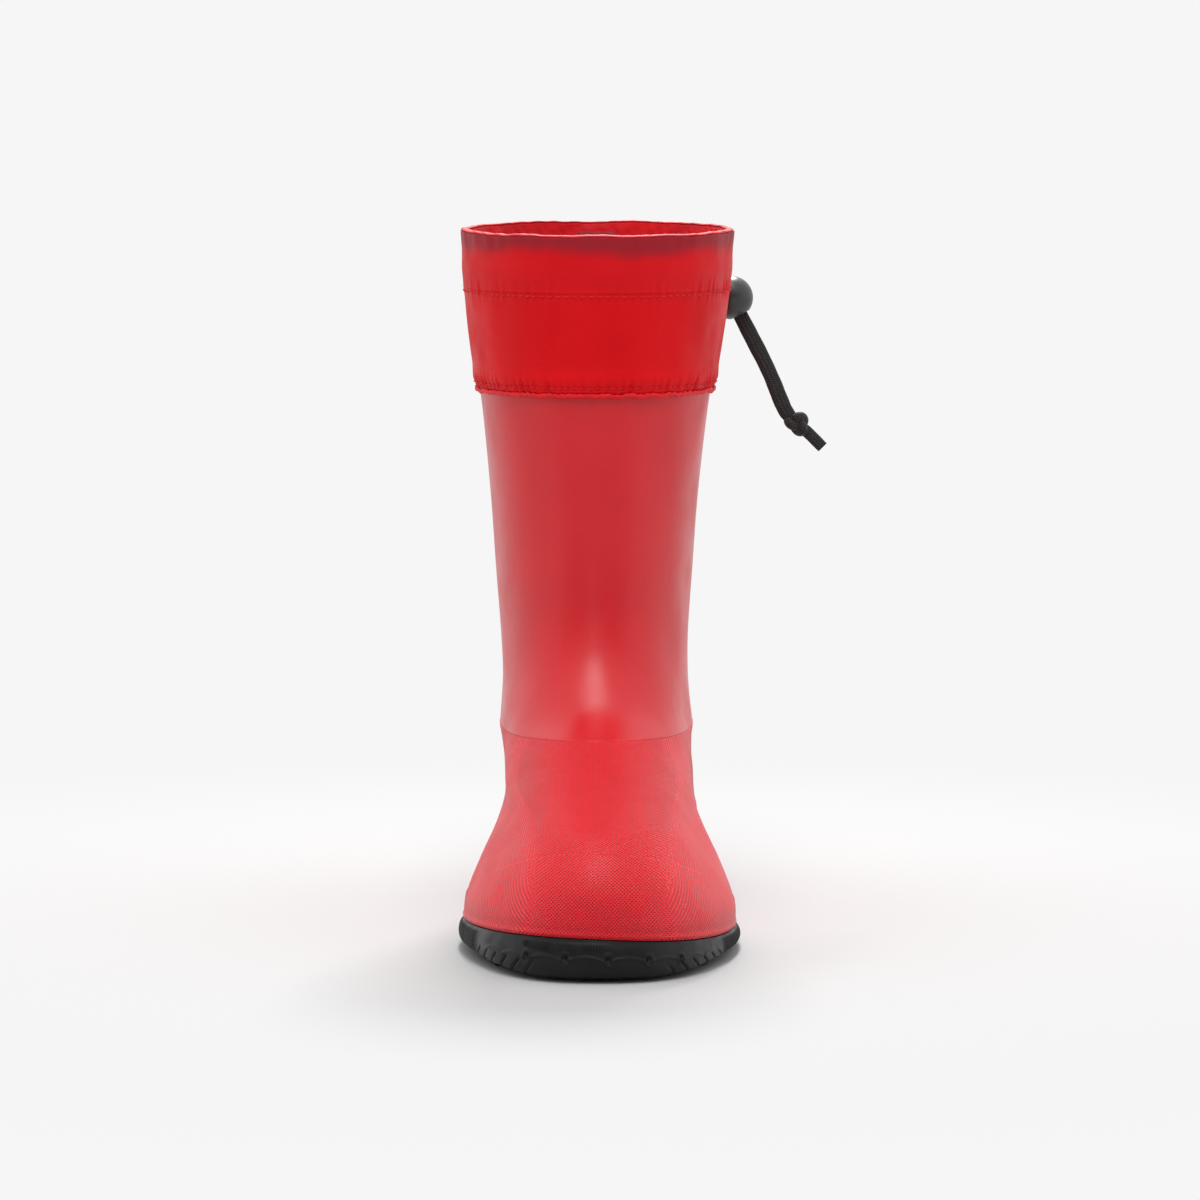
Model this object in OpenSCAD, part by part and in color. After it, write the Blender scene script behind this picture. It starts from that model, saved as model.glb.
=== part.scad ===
// Mid-height rubber rain boot, left foot, with a drawcord collar.
// The toe points along -Y, the outer (little toe) side is +X and the floor is z = 0.

/* [Boot] */
// Length of the outsole from toe to heel
boot_length = 280; // [260:1:300]
// Width of the upper across the ball of the foot
ball_width = 102; // [94:1:106]
// Height of the rim above the floor
boot_height = 262; // [250:1:274]

/* [Walls] */
// Thickness of the rubber of the foot and shaft
rubber_t = 2; // [1.6:0.1:2.2]
// Thickness of the knitted lining
lining_t = 1.1; // [0.8:0.1:1.2]
// Thickness of each layer of the collar's fabric
fabric_t = 0.9; // [0.7:0.1:1]
// Thickness of the overlays on the toe, heel and back seam
overlay_t = 0.8; // [0.5:0.1:1]

/* [Sole] */
// Depth of the tread lugs
tread_h = 3; // [2:0.5:4]
// How far the sole's side stands out past the upper
sole_bulge = 2; // [1:0.1:2.2]
// Thickness of the removable footbed
footbed_t = 5; // [4:0.5:6]

/* [Drawcord] */
// Width of the flat cord
cord_w = 6; // [4:0.5:6.2]
// Thickness of the flat cord
cord_t = 2; // [1:0.1:2.2]
// Radius of the ball-shaped cord lock
lock_r = 8.5; // [8:0.5:9]
// Travel of the cord lock's button
button_travel = 2; // [1.5:0.1:2.2]

/* [Hidden] */

kx = ball_width / 102;
ky = boot_length / 280;
kz = boot_height / 262;
gap = 0.05;             // between layers that are bonded or sewn together
loose_gap = 0.35;       // between two curved layers whose facets don't match
clearance = 0.35;       // between pieces that move apart
sides = 44;             // facets round a shell
rest_lift = 1.6 + gap + clearance;  // underside of the footbed above the joint line

// The upper is a family of rings. Each row is one ring: its front point (y, z), its back point (y, z),
// half width at the ball and at the heel, waist, sideways shift, sag below the straight line from front
// to back, squareness of the front and the back end, and lean towards the big toe.
RINGS = [
  [-138, 15.6, 138, 22, 52, 46, 14, 0.8, 9.5, 2.5, 2.3, 0.042],
  [-138.2, 22.5, 138.6, 31, 51.4, 45, 12, 1.1, 7, 2.5, 2.3, 0.035],
  [-136, 32, 138.8, 40, 46.1, 43.5, 8, 1.1, 4, 2.5, 2.3, 0.028],
  [-129, 41.5, 138.2, 48, 40.2, 42, 6, 0.9, 2, 2.45, 2.3, 0.02],
  [-117, 49.5, 137, 54.5, 36, 41.2, 4, 0.6, 0.5, 2.4, 2.3, 0.03],
  [-98, 56, 135.5, 60, 35.4, 40.5, 3, 0.2, 0.5, 2.35, 2.3, 0.03],
  [-76, 61.5, 133.8, 65, 35.2, 40, 2, 0, 1.5, 2.3, 2.3, 0.02],
  [-54, 67, 132, 70, 35.2, 39.5, 1, -0.3, 2.5, 2.25, 2.3, 0.01],
  [-34, 74, 130.5, 75, 35.5, 38.6, 0, -0.4, 3.2, 2.2, 2.25, 0],
  [-17, 82.5, 129, 81.5, 35.6, 37.2, 0, -0.6, 2.2, 2.15, 2.2, 0],
  [-5, 94.5, 127.6, 92, 35.6, 36.2, 0, -0.8, 1, 2.1, 2.15, 0],
  [2.5, 109.5, 126.5, 107, 36.2, 36.2, 0, -1.1, 0, 2.1, 2.1, 0],
  [6.5, 130.5, 126.2, 129, 37.7, 37.7, 0, -1.2, 0, 2.1, 2.1, 0],
  [8.5, 159.5, 127, 159, 40, 40, 0, -1.1, 0, 2.1, 2.1, 0],
  [9.5, 193.3, 129, 193.5, 43.8, 43.8, 0, -0.8, 0, 2.1, 2.1, 0],
  [8.3, 215, 131.5, 215.5, 47.3, 47.3, 0, -0.6, 0, 2.1, 2.1, 0],
  [6, 238, 134, 239, 50.2, 50.2, 0, -0.2, 0, 2.1, 2.1, 0],
  [4.5, 259.8, 137, 261.8, 51.4, 51.4, 0, 0, 0, 2.1, 2.1, 0]];

// Ring numbers where one piece of the boot ends and the next begins
S_ANKLE = 8;            // top of the textured foot
S_HEM = 14.25;          // lower edge of the collar
S_STITCH = 14.37;       // the seam that holds the collar on
S_SHAFT_TOP = 14.8;     // the shaft ends inside the collar
S_TUNNEL = 16;          // seam under the drawcord's tunnel
S_CORD = 16.3;          // middle of the drawcord
S_RIM = 16.95;          // top edge of the collar's layers

// Route of the cord's free end: out of the eyelet, straight through the lock, then to the knot
ROUTE = [[44, 107.1, 245.5], [45.6, 107.9, 245.2], [46.8, 108.6, 244], [47.5, 109, 242], [52, 109, 233.3],
         [56.5, 109, 224.6], [61, 109, 215.9], [65.5, 109, 207.2], [69, 109, 199.5], [72, 109, 192],
         [74.5, 109, 187], [78.5, 109, 183], [83, 109, 179], [88.5, 109, 173.5]];
KNOT_AT = 11;           // the point of the route that the knot sits on
bunched_w = 3.2;        // the flat cord is bunched where it comes through the eyelet
bunched_t = 2.6;
lock_drop = 11;         // from the start of the route's straight stretch to the lock's middle
straight_dir = (ROUTE[7] - ROUTE[3]) / norm(ROUTE[7] - ROUTE[3]);
lock_pos = ROUTE[3] + lock_drop * straight_dir;
lock_tilt = atan2(straight_dir.x, -straight_dir.z);
lock_turn = 172;        // the button faces backwards and a little outwards

lock_half = 0.87 * lock_r;      // the ball is cut flat where the cord goes in and out
cord_bore_r = cord_w / 2 + 0.45;
button_r = 4.53;
button_bore_r = button_r + 0.07;
button_bore_end = 6.2;
button_base = 2.3;      // inner end of the button, from the middle of the ball
button_out = lock_r + 1.9;
slot_half = cord_t / 2 + 0.6;   // room for the cord on each side of the lock's middle, slightly turned
spring_r = 3.2;
spring_wire_r = 0.25;
spring_turns = 3;
eyelet_angle = 123;
eyelet_bore_r = cord_w / 2 + 0.4;

function clamp01(t) = min(1, max(0, t));
function ease(t) = let (c = clamp01(t)) c * c * (3 - 2 * c);
function mix(a, b, t) = a + (b - a) * t;
function unit(v) = v / norm(v);
function power(v, e) = sign(v) * pow(abs(v), e);

// A ring between the listed ones, on a smooth curve through them
function ring(s) =
  let (i = max(0, min(floor(s), len(RINGS) - 2)), t = s - i,
       b = RINGS[i], c = RINGS[i + 1],
       a = i > 0 ? RINGS[i - 1] : 2 * b - c,
       d = i + 2 < len(RINGS) ? RINGS[i + 2] : 2 * c - b)
  b + 0.5 * t * (c - a + t * (2 * a - 5 * b + 4 * c - d + t * (3 * (b - c) + d - a)));

// Point of the boot's outside on ring s, at angle a from the toe towards the outer side
function outer(s, a) =
  let (r = ring(s), p = cos(a), n = p > 0 ? r[9] : r[10],
       u = (1 - power(p, 2 / n)) / 2,
       w = r[4] + (r[5] - r[4]) * ease((u - 0.3) / 0.5) - r[6] * exp(-pow((u - 0.58) / 0.16, 2)),
       x = r[7] + w * power(sin(a), 2 / n))
  [kx * x,
   ky * mix(r[0], r[2], u),
   kz * (mix(r[1], r[3], u) - r[8] * sin(180 * u) - r[11] * x * (1 - u))];

function normal(s, a) =
  unit(cross(outer(s, a + 2) - outer(s, a - 2), outer(s + 0.05, a) - outer(s - 0.05, a)));

// Point at a distance outside (positive) or inside the outside
function skin(s, a, out) = outer(s, a) + out * normal(s, a);

// Point of the joint line between upper and sole, moved sideways by out
function sole_edge(a, out) =
  let (p = outer(0, a), n = normal(0, a), h = unit([n.x, n.y, 0])) p + out * h;

function angles(n) = [for (k = [0 : n - 1]) 360 * k / n];

// Closed band all round the boot between two offsets from its outside
module band(rows, out, in, n = sides) {
  m = len(rows);
  function id(layer, i, k) = (layer * m + i) * n + k % n;
  points = [for (o = [out, in]) for (s = rows) for (a = angles(n)) skin(s, a, o)];
  faces = [for (k = [0 : n - 1]) each [
    for (i = [0 : m - 2]) each [
      [id(0, i, k), id(0, i + 1, k), id(0, i + 1, k + 1), id(0, i, k + 1)],
      [id(1, i, k), id(1, i, k + 1), id(1, i + 1, k + 1), id(1, i + 1, k)]],
    [id(0, 0, k), id(0, 0, k + 1), id(1, 0, k + 1), id(1, 0, k)],
    [id(0, m - 1, k), id(1, m - 1, k), id(1, m - 1, k + 1), id(0, m - 1, k + 1)]]];
  polyhedron(points, faces);
}

// Closed patch over part of the boot: each column is [angle, lowest ring, highest ring]
module patch(columns, m, out, in) {
  n = len(columns);
  function id(layer, i, k) = (layer * n + k) * m + i;
  points = [for (o = [out, in]) for (c = columns) for (i = [0 : m - 1])
    skin(mix(c[1], c[2], i / (m - 1)), c[0], o)];
  faces = concat(
    [for (k = [0 : n - 2]) for (i = [0 : m - 2]) each [
      [id(0, i, k), id(0, i + 1, k), id(0, i + 1, k + 1), id(0, i, k + 1)],
      [id(1, i, k), id(1, i, k + 1), id(1, i + 1, k + 1), id(1, i + 1, k)]]],
    [for (k = [0 : n - 2]) each [
      [id(0, 0, k), id(0, 0, k + 1), id(1, 0, k + 1), id(1, 0, k)],
      [id(0, m - 1, k), id(1, m - 1, k), id(1, m - 1, k + 1), id(0, m - 1, k + 1)]]],
    [for (i = [0 : m - 2]) each [
      [id(0, i, 0), id(1, i, 0), id(1, i + 1, 0), id(0, i + 1, 0)],
      [id(0, i, n - 1), id(0, i + 1, n - 1), id(1, i + 1, n - 1), id(1, i, n - 1)]]]);
  polyhedron(points, faces);
}

// Closed solid from a stack of rings of n points, capped by strips across the boot at both ends
module stack(rings, n) {
  m = len(rings);
  function id(i, k) = i * n + k % n;
  faces = concat(
    [for (i = [0 : m - 2]) for (k = [0 : n - 1]) [id(i, k), id(i + 1, k), id(i + 1, k + 1), id(i, k + 1)]],
    [for (k = [0 : n / 2 - 1]) each [
      [id(0, k), id(0, k + 1), id(0, n - k - 1), id(0, n - k)],
      [id(m - 1, k), id(m - 1, n - k), id(m - 1, n - k - 1), id(m - 1, k + 1)]]]);
  // the first and last strips are triangles, because their two end points are one point
  polyhedron([for (r = rings) each r], [for (f = faces) distinct(f)]);
}
function distinct(f) = [for (i = [0 : len(f) - 1]) if (f[i] != f[(i + 1) % len(f)]) f[i]];

// Layer inside the boot, from one height above the joint line to another
module layer(out, low, high, n = sides)
  stack([for (z = [low, high]) [for (a = angles(n)) sole_edge(a, out) + [0, 0, z]]], n);

// Tube with an oval section along a list of points, w wide and t thick at each; its thickness lies along Y
module tube(points, w, t, n) {
  m = len(points);
  function along(i) = unit(points[min(i + 1, m - 1)] - points[max(i - 1, 0)]);
  rings = [for (i = [0 : m - 1])
    let (f = along(i), v = unit([0, 1, 0] - f * f.y), h = cross(f, v))
    [for (a = angles(n)) points[i] + h * w[i] / 2 * power(cos(a), 0.7) + v * t[i] / 2 * power(sin(a), 0.7)]];
  function id(i, k) = i * n + k % n;
  polyhedron([for (r = rings) each r], concat(
    [for (i = [0 : m - 2]) for (k = [0 : n - 1]) [id(i, k), id(i + 1, k), id(i + 1, k + 1), id(i, k + 1)]],
    [[for (k = [0 : n - 1]) id(0, k)]],
    [[for (k = [n - 1 : -1 : 0]) id(m - 1, k)]]));
}

// ---- sole ----

FLOOR_Z = 8;            // inner floor of the outsole
wall_in = rubber_t + lining_t + 0.3;
toe_spring = 2.2;
function spring_z(y) = toe_spring * pow(max(0, -y - 95 * ky) / (45 * ky), 2);

// Ring of the outsole's outside, at a fraction of the way up to the joint line
function sole_ring(out, up) = [for (a = angles(sides))
  let (p = sole_edge(a, out), low = tread_h + spring_z(p.y)) [p.x, p.y, mix(low, p.z, up)]];

module lug(x, y, w, l, turn) translate([x, y]) rotate(turn) square([w, l], center = true);

module tread() {
  lug_pitch = 15;
  linear_extrude(tread_h + 0.6) intersection() {
    polygon([for (a = angles(sides)) let (p = sole_edge(a, -4)) [p.x, p.y]]);
    union() {
      for (i = [0 : 5], side = [-1, 1])
        lug(side * 24 * kx, (-98 + lug_pitch * i) * ky, 44 * kx, 8, side * 18);
      for (i = [0 : 3], side = [-1, 1])
        lug(side * 19 * kx, (72 + lug_pitch * i) * ky, 34 * kx, 8, side * 12);
    }
  }
}

module outsole() color([0.16, 0.17, 0.17]) union() {
  stack([sole_ring(-2, 0), sole_ring(sole_bulge * 0.6, 0.12), sole_ring(sole_bulge, 0.4),
         sole_ring(sole_bulge * 0.8, 0.75), sole_ring(0.4, 1),
         [for (a = angles(sides)) sole_edge(a, -wall_in)],
         [for (a = angles(sides)) let (p = sole_edge(a, -wall_in - 0.2)) [p.x, p.y, FLOOR_Z + spring_z(p.y)]]],
        sides);
  tread();
}

module sole_filler() color([0.75, 0.68, 0.55])
  stack([[for (a = angles(sides)) let (p = sole_edge(a, -wall_in - 0.4))
            [p.x, p.y, FLOOR_Z + gap + spring_z(p.y)]],
         [for (a = angles(sides)) sole_edge(a, -wall_in - 0.4)]], sides);

module insole_board() color([0.7, 0.62, 0.48]) layer(-wall_in - 0.4, gap, 1.6);

module footbed() color([0.25, 0.25, 0.27]) layer(-6, rest_lift, rest_lift + footbed_t);

module footbed_cover() color([0.55, 0.1, 0.13])
  layer(-6, rest_lift + footbed_t + gap, rest_lift + footbed_t + 0.8);

// ---- foot and shaft ----

FOOT_ROWS = [0.02, 0.4, 0.8, 1.2, 1.6, 2, 2.5, 3, 3.5, 4, 4.5, 5, 5.5, 6, 6.5, 7, 7.5];
SHAFT_ROWS = [S_ANKLE, 8.5, 9, 9.5, 10, 10.5, 11, 12, 13, 13.5, S_HEM];

module foot_shell() color([0.83, 0.12, 0.16]) band([each FOOT_ROWS, S_ANKLE - 0.01], 0, -rubber_t);

module shaft_shell() color([0.8, 0.1, 0.15]) band([each SHAFT_ROWS, S_SHAFT_TOP], 0, -rubber_t);

module foot_lining() color([0.3, 0.3, 0.32])
  band([each FOOT_ROWS, S_ANKLE - 0.01], -rubber_t - gap, -rubber_t - gap - lining_t);

module shaft_lining() color([0.3, 0.3, 0.32])
  band([each SHAFT_ROWS, 14.5], -rubber_t - gap, -rubber_t - gap - lining_t);

// Bumper that wraps the toe, high in front and low at the ball of the foot
module toe_cap() color([0.8, 0.1, 0.15])
  patch([for (k = [-10 : 10]) let (a = 360 * k / sides) [a, 0.04, 3.35 * pow(cos(a), 0.9)]], 12,
        loose_gap + overlay_t, loose_gap);

// Reinforcement round the heel
module heel_cap() color([0.8, 0.1, 0.15])
  patch([for (k = [-8 : 8]) let (a = 180 + 360 * k / sides) [a, 0.04, 3.8 * pow(-cos(a), 0.6)]], 12,
        loose_gap + overlay_t, loose_gap);

// Strip that covers the shaft's back seam
module back_stay() color([0.8, 0.1, 0.15])
  patch([for (a = [170 : 4 : 190]) [a, 4.1, 14.1]], 14, loose_gap + overlay_t, loose_gap);

// ---- collar ----

OUTER = gap + fabric_t;         // outside of the collar's outer layer
INNER = -rubber_t - 0.35;       // outside of the collar's inner layer
FACING_IN = INNER - fabric_t;   // the face that the leg touches

module collar_band() color([0.8, 0.08, 0.12])
  band([S_HEM, S_SHAFT_TOP, 15.1, 15.5, S_TUNNEL - 0.01], OUTER, gap);

module collar_tunnel() color([0.7, 0.1, 0.12]) band([S_TUNNEL + 0.01, 16.3, 16.65, S_RIM], OUTER, gap);

module collar_facing() color([0.75, 0.1, 0.13])
  band([14.55, S_SHAFT_TOP, 15.1, 15.5, 16, 16.5, S_RIM], INNER, FACING_IN);

// Tape over the seam of the collar's inner layer, at the back
module collar_seam_tape() color([0.75, 0.1, 0.13])
  patch([for (a = [172 : 4 : 188]) [a, 14.65, 16.8]], 7, FACING_IN - loose_gap, FACING_IN - loose_gap - 0.4);

module hem_binding() color([0.8, 0.1, 0.14]) band([S_HEM, S_HEM + 0.07], OUTER + gap + 0.5, OUTER + gap);

// Folded edge that closes the collar's two layers at the top
module rim_binding() color([0.85, 0.3, 0.35])
  band([S_RIM + 0.01, S_RIM + 0.05], OUTER, FACING_IN);

module stitch_row(s) band([s - 0.02, s, s + 0.02], OUTER + 3 * gap + 0.35, OUTER + 3 * gap);

module hem_stitching() color([0.6, 0.06, 0.1]) stitch_row(S_STITCH);

module tunnel_stitching() color([0.6, 0.06, 0.1]) stitch_row(S_TUNNEL - 0.06);

// ---- drawcord ----

eyelet_pos = skin(S_CORD, eyelet_angle, OUTER);
eyelet_dir = normal(S_CORD, eyelet_angle);

module at_eyelet() translate(eyelet_pos) rotate([0, 90 - asin(eyelet_dir.z), atan2(eyelet_dir.y, eyelet_dir.x)])
  children();

module eyelet() color([0.12, 0.12, 0.13]) at_eyelet() difference() {
  union() {
    translate([0, 0, gap]) cylinder(r = eyelet_bore_r + 2, h = 0.7, $fn = 48);
    translate([0, 0, -fabric_t]) cylinder(r = eyelet_bore_r + 0.7, h = fabric_t + 0.3, $fn = 48);
  }
  translate([0, 0, -2]) cylinder(r = eyelet_bore_r, h = 4, $fn = 48);
}

// The part of the cord that lies inside the collar's tunnel
module drawcord_loop() color([0.12, 0.12, 0.13]) {
  half = cord_w / 2 / 23;         // the rings there are about 23 mm apart
  band([S_CORD - half, S_CORD + half], -gap, -cord_t + gap);
}

module drawcord_tail() color([0.12, 0.12, 0.13])
  tube(ROUTE, [for (i = [0 : len(ROUTE) - 1]) mix(bunched_w, cord_w, ease(i / 4))],
       [for (i = [0 : len(ROUTE) - 1]) mix(bunched_t, cord_t, ease(i / 4))], 12);

module cord_knot() color([0.12, 0.12, 0.13]) translate(ROUTE[KNOT_AT]) sphere(4.6, $fn = 40);

module at_lock() translate(lock_pos) rotate([0, -lock_tilt, 0]) rotate([0, 0, lock_turn]) children();

module lock_body() color([0.14, 0.14, 0.15]) at_lock() difference() {
  intersection() {
    sphere(lock_r, $fn = 64);
    cylinder(r = lock_r + 1, h = 2 * lock_half, center = true, $fn = 64);
  }
  cylinder(r = cord_bore_r, h = 3 * lock_r, center = true, $fn = 48);
  translate([0, button_bore_end, 0]) rotate([90, 0, 0]) cylinder(r = button_bore_r, h = 3 * lock_r, $fn = 48);
}

// Plunger with a slot for the cord, so that it can be pressed without touching it
module lock_button() color([0.1, 0.1, 0.11]) at_lock() difference() {
  rotate([90, 0, 0]) rotate_extrude($fn = 48)
    polygon([[0, -button_base], [button_r, -button_base], [button_r, button_out - 1.2],
             [button_r - 0.5, button_out - 0.4], [button_r - 1.5, button_out], [0, button_out]]);
  translate([-cord_bore_r, -button_travel - slot_half, -lock_r])
    cube([2 * cord_bore_r, button_travel + 2 * slot_half, 2 * lock_r]);
}

module lock_spring() color("silver") at_lock() {
  steps = 14;
  end = button_bore_end - spring_wire_r - gap;
  start = button_base + spring_wire_r + gap;
  coil = [for (k = [0 : steps * spring_turns]) let (a = 360 * k / steps, t = k / (steps * spring_turns))
    [spring_r * cos(a), mix(start, end, t), spring_r * sin(a)]];
  wire = [for (p = coil) 2 * spring_wire_r];
  tube(coil, wire, wire, 8);
}

outsole();
sole_filler();
insole_board();
footbed();
footbed_cover();
foot_shell();
toe_cap();
heel_cap();
shaft_shell();
back_stay();
foot_lining();
shaft_lining();
collar_band();
collar_tunnel();
collar_facing();
collar_seam_tape();
hem_binding();
rim_binding();
hem_stitching();
tunnel_stitching();
eyelet();
drawcord_loop();
drawcord_tail();
cord_knot();
lock_body();
lock_button();
lock_spring();
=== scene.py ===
"""The looks of a red rubber rain boot with a drawcord collar, built round its CAD frame.

The toe points along -Y, the outer side of the foot is +X and the floor is z = 0. The frame is in
metres; the shape functions below work in millimetres, as the CAD does, and mesh() converts.
"""
import math

import bpy
import numpy as np
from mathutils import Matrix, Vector


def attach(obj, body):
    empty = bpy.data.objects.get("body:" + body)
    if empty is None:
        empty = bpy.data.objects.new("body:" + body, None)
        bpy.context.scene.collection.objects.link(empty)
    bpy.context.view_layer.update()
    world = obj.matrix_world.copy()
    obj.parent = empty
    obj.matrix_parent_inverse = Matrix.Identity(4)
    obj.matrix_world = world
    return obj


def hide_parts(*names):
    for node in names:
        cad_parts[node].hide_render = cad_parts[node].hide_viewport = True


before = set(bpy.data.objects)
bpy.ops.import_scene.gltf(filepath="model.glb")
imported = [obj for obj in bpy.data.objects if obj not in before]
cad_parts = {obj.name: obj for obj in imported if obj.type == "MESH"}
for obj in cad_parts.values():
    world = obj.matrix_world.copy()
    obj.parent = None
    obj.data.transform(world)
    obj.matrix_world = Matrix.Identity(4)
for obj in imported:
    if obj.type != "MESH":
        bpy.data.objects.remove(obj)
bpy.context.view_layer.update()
scene = bpy.context.scene
MM = 0.001

# ---- driving dimensions, in millimetres ----

RUBBER = 2.0
LINING = 1.1
FABRIC = 0.9
OVERLAY = 0.8
GAP = 0.05
TREAD = 3.0
BULGE = 2.0
CORD_WIDTH = 6.0
CORD_THICK = 2.0
TAIL_WIDTH = 4.7
TWILL = 1.3             # pitch of the moulded ridges on the foot
RIB = 1.35              # pitch of the ribs on the sole's sides
STITCH = 3.1            # pitch of the stitches

# Rings of the upper: front point (y, z), back point (y, z), half width at the ball and at the heel,
# waist, shift, sag, squareness of the front and the back end, and lean.
RINGS = np.array([
    [-138, 15.6, 138, 22, 52, 46, 14, 0.8, 9.5, 2.5, 2.3, 0.042],
    [-138.2, 22.5, 138.6, 31, 51.4, 45, 12, 1.1, 7, 2.5, 2.3, 0.035],
    [-136, 32, 138.8, 40, 46.1, 43.5, 8, 1.1, 4, 2.5, 2.3, 0.028],
    [-129, 41.5, 138.2, 48, 40.2, 42, 6, 0.9, 2, 2.45, 2.3, 0.02],
    [-117, 49.5, 137, 54.5, 36, 41.2, 4, 0.6, 0.5, 2.4, 2.3, 0.03],
    [-98, 56, 135.5, 60, 35.4, 40.5, 3, 0.2, 0.5, 2.35, 2.3, 0.03],
    [-76, 61.5, 133.8, 65, 35.2, 40, 2, 0, 1.5, 2.3, 2.3, 0.02],
    [-54, 67, 132, 70, 35.2, 39.5, 1, -0.3, 2.5, 2.25, 2.3, 0.01],
    [-34, 74, 130.5, 75, 35.5, 38.6, 0, -0.4, 3.2, 2.2, 2.25, 0],
    [-17, 82.5, 129, 81.5, 35.6, 37.2, 0, -0.6, 2.2, 2.15, 2.2, 0],
    [-5, 94.5, 127.6, 92, 35.6, 36.2, 0, -0.8, 1, 2.1, 2.15, 0],
    [2.5, 109.5, 126.5, 107, 36.2, 36.2, 0, -1.1, 0, 2.1, 2.1, 0],
    [6.5, 130.5, 126.2, 129, 37.7, 37.7, 0, -1.2, 0, 2.1, 2.1, 0],
    [8.5, 159.5, 127, 159, 40, 40, 0, -1.1, 0, 2.1, 2.1, 0],
    [9.5, 193.3, 129, 193.5, 43.8, 43.8, 0, -0.8, 0, 2.1, 2.1, 0],
    [8.3, 215, 131.5, 215.5, 47.3, 47.3, 0, -0.6, 0, 2.1, 2.1, 0],
    [6, 238, 134, 239, 50.2, 50.2, 0, -0.2, 0, 2.1, 2.1, 0],
    [4.5, 259.8, 137, 261.8, 51.4, 51.4, 0, 0, 0, 2.1, 2.1, 0]])
S_ANKLE = 8
S_HEM = 14.25
S_STITCH = 14.37
S_SHAFT_TOP = 14.8
S_LINING_TOP = 14.5
S_FACING = 14.55
S_STAY = (4.1, 14.1)
S_TAPE = (14.65, 16.8)
S_TUNNEL = 16
S_RIM = 16.95
OUTER = GAP + FABRIC
INNER = -RUBBER - 0.35
FACING_IN = INNER - FABRIC
WALL_IN = RUBBER + LINING + 0.3
FLOOR_Z = 8.0

# Route of the cord's free end: out of the eyelet, straight through the lock, then to the knot
ROUTE = np.array([
    [44, 107.1, 245.5], [45.6, 107.9, 245.2], [46.8, 108.6, 244], [47.5, 109, 242], [52, 109, 233.3],
    [56.5, 109, 224.6], [61, 109, 215.9], [65.5, 109, 207.2], [69, 109, 199.5], [72, 109, 192],
    [74.5, 109, 187], [78.5, 109, 183], [83, 109, 179], [88.5, 109, 173.5]])
KNOT_AT = 11
BUNCHED_WIDTH = 3.2
BUNCHED_THICK = 2.6


# ---- shape functions ----

def ease(t):
    t = np.clip(t, 0, 1)
    return t * t * (3 - 2 * t)


def mix(a, b, t):
    return a + (b - a) * t


def hump(x, width):
    return np.exp(-(x / width) ** 2)


def unit(v):
    return v / np.linalg.norm(v, axis=-1, keepdims=True)


def power(x, e):
    return np.sign(x) * np.abs(x) ** e


def spline(table, s):
    """Smooth curve through the rows of a table, one row per unit of s."""
    s = np.asarray(s, float)
    i = np.clip(np.floor(s).astype(int), 0, len(table) - 2)
    t = (s - i)[..., None]
    b, c = table[i], table[i + 1]
    a = np.where((i > 0)[..., None], table[np.maximum(i - 1, 0)], 2 * b - c)
    after = np.minimum(i + 2, len(table) - 1)
    d = np.where((i + 2 < len(table))[..., None], table[after], 2 * c - b)
    return b + 0.5 * t * (c - a + t * (2 * a - 5 * b + 4 * c - d + t * (3 * (b - c) + d - a)))


def outer(s, a):
    """Point of the boot's outside on ring s, at angle a from the toe towards the outer side."""
    s, a = np.broadcast_arrays(np.asarray(s, float), np.asarray(a, float))
    r = spline(RINGS, s)
    p, q = np.cos(np.radians(a)), np.sin(np.radians(a))
    n = np.where(p > 0, r[..., 9], r[..., 10])
    u = (1 - power(p, 2 / n)) / 2
    w = mix(r[..., 4], r[..., 5], ease((u - 0.3) / 0.5)) - r[..., 6] * hump(u - 0.58, 0.16)
    x = r[..., 7] + w * power(q, 2 / n)
    z = mix(r[..., 1], r[..., 3], u) - r[..., 8] * np.sin(np.pi * u) - r[..., 11] * x * (1 - u)
    return np.stack([x, mix(r[..., 0], r[..., 2], u), z], -1)


def normal(s, a):
    return unit(np.cross(outer(s, a + 2) - outer(s, a - 2), outer(s + 0.05, a) - outer(s - 0.05, a)))


def skin(s, a, out):
    return outer(s, a) + np.asarray(out)[..., None] * normal(s, a)


def sole_edge(a, out):
    """Point of the joint line between upper and sole, moved sideways by out."""
    n = normal(0.0, a)
    n[..., 2] = 0
    return outer(0.0, a) + np.asarray(out)[..., None] * unit(n)


def spring_z(y):
    return 2.2 * (np.maximum(0, -y - 95) / 45) ** 2


def away(s, a, seam):
    """Distance along the surface from a point to the ring called seam, in millimetres."""
    return np.linalg.norm(outer(s, a) - outer(seam, a), axis=-1)


def waves(turn, low, high, seed):
    """Irregular waves round the boot, from low to high cycles a turn, about 1 at their highest."""
    rng = np.random.default_rng(seed)
    cycles = np.arange(low, high + 1)
    size = rng.uniform(0.4, 1, len(cycles))
    phase = rng.uniform(0, 2 * np.pi, len(cycles))
    total = sum(h * np.sin(2 * np.pi * c * turn + f) for c, h, f in zip(cycles, size, phase))
    return total / (1.6 * np.sqrt((size ** 2).sum() / 2) + 1e-9)


def round_angles(columns):
    """Angles all round the boot, from the back and back to it."""
    return 180 + 360 * np.arange(columns) / columns


# ---- meshes ----

def mesh(name, points, faces, uv=None):
    """A smooth mesh from points in millimetres. uv has one (u, v) for each corner of each face."""
    made = bpy.data.meshes.new(name)
    made.from_pydata((np.asarray(points) * MM).tolist(), [], [list(f) for f in faces])
    made.shade_smooth()
    if uv is not None:
        layer = made.uv_layers.new(name="skin")
        layer.uv.foreach_set("vector", np.asarray(uv, np.float32).ravel())
    made.validate()
    return made


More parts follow.
